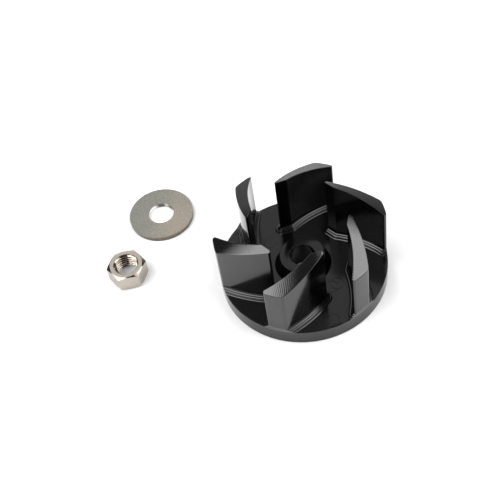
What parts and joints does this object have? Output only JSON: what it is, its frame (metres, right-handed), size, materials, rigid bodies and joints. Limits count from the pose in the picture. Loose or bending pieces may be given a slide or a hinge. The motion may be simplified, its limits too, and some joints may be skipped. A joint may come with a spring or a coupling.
{
  "type": "water pump impeller",
  "caption": "Black anodised water pump impeller with tall curved blades and a shaft bore, laid out with its wide flat washer and hexagon shaft nut.",
  "frame": {"origin": "centre of the impeller's shaft bore, in the plane of its flat back, which is the surface that all three pieces lie on", "axes": "+Z along the shaft bore, from the back towards the blades; the washer and the nut lie on the -X side, and +Y points away from a viewer who has them at the left"},
  "size_m": [0.1108, 0.0888, 0.0355],
  "materials": {
    "black_anodised_aluminium": "satin black anodised, with fine milling marks",
    "satin_stainless": "satin, stamped, with sheared edges",
    "bright_stainless": "bright, with polished thread and chamfers"
  },
  "bodies": {
    "washer": {"washer": "satin_stainless"},
    "impeller": {"impeller": "black_anodised_aluminium"},
    "nut": {"nut": "bright_stainless"}
  },
  "joints": [
    {"name": "impeller_spin", "type": "hinge", "parent": "washer", "child": "impeller", "pos_m": [0, 0, 0], "axis": [0, 0, 1], "continuous": true},
    {"name": "nut_lift", "type": "slide", "parent": "washer", "child": "nut", "axis": [0, 0, 1], "range_m": [0, 0.04]}
  ]
}
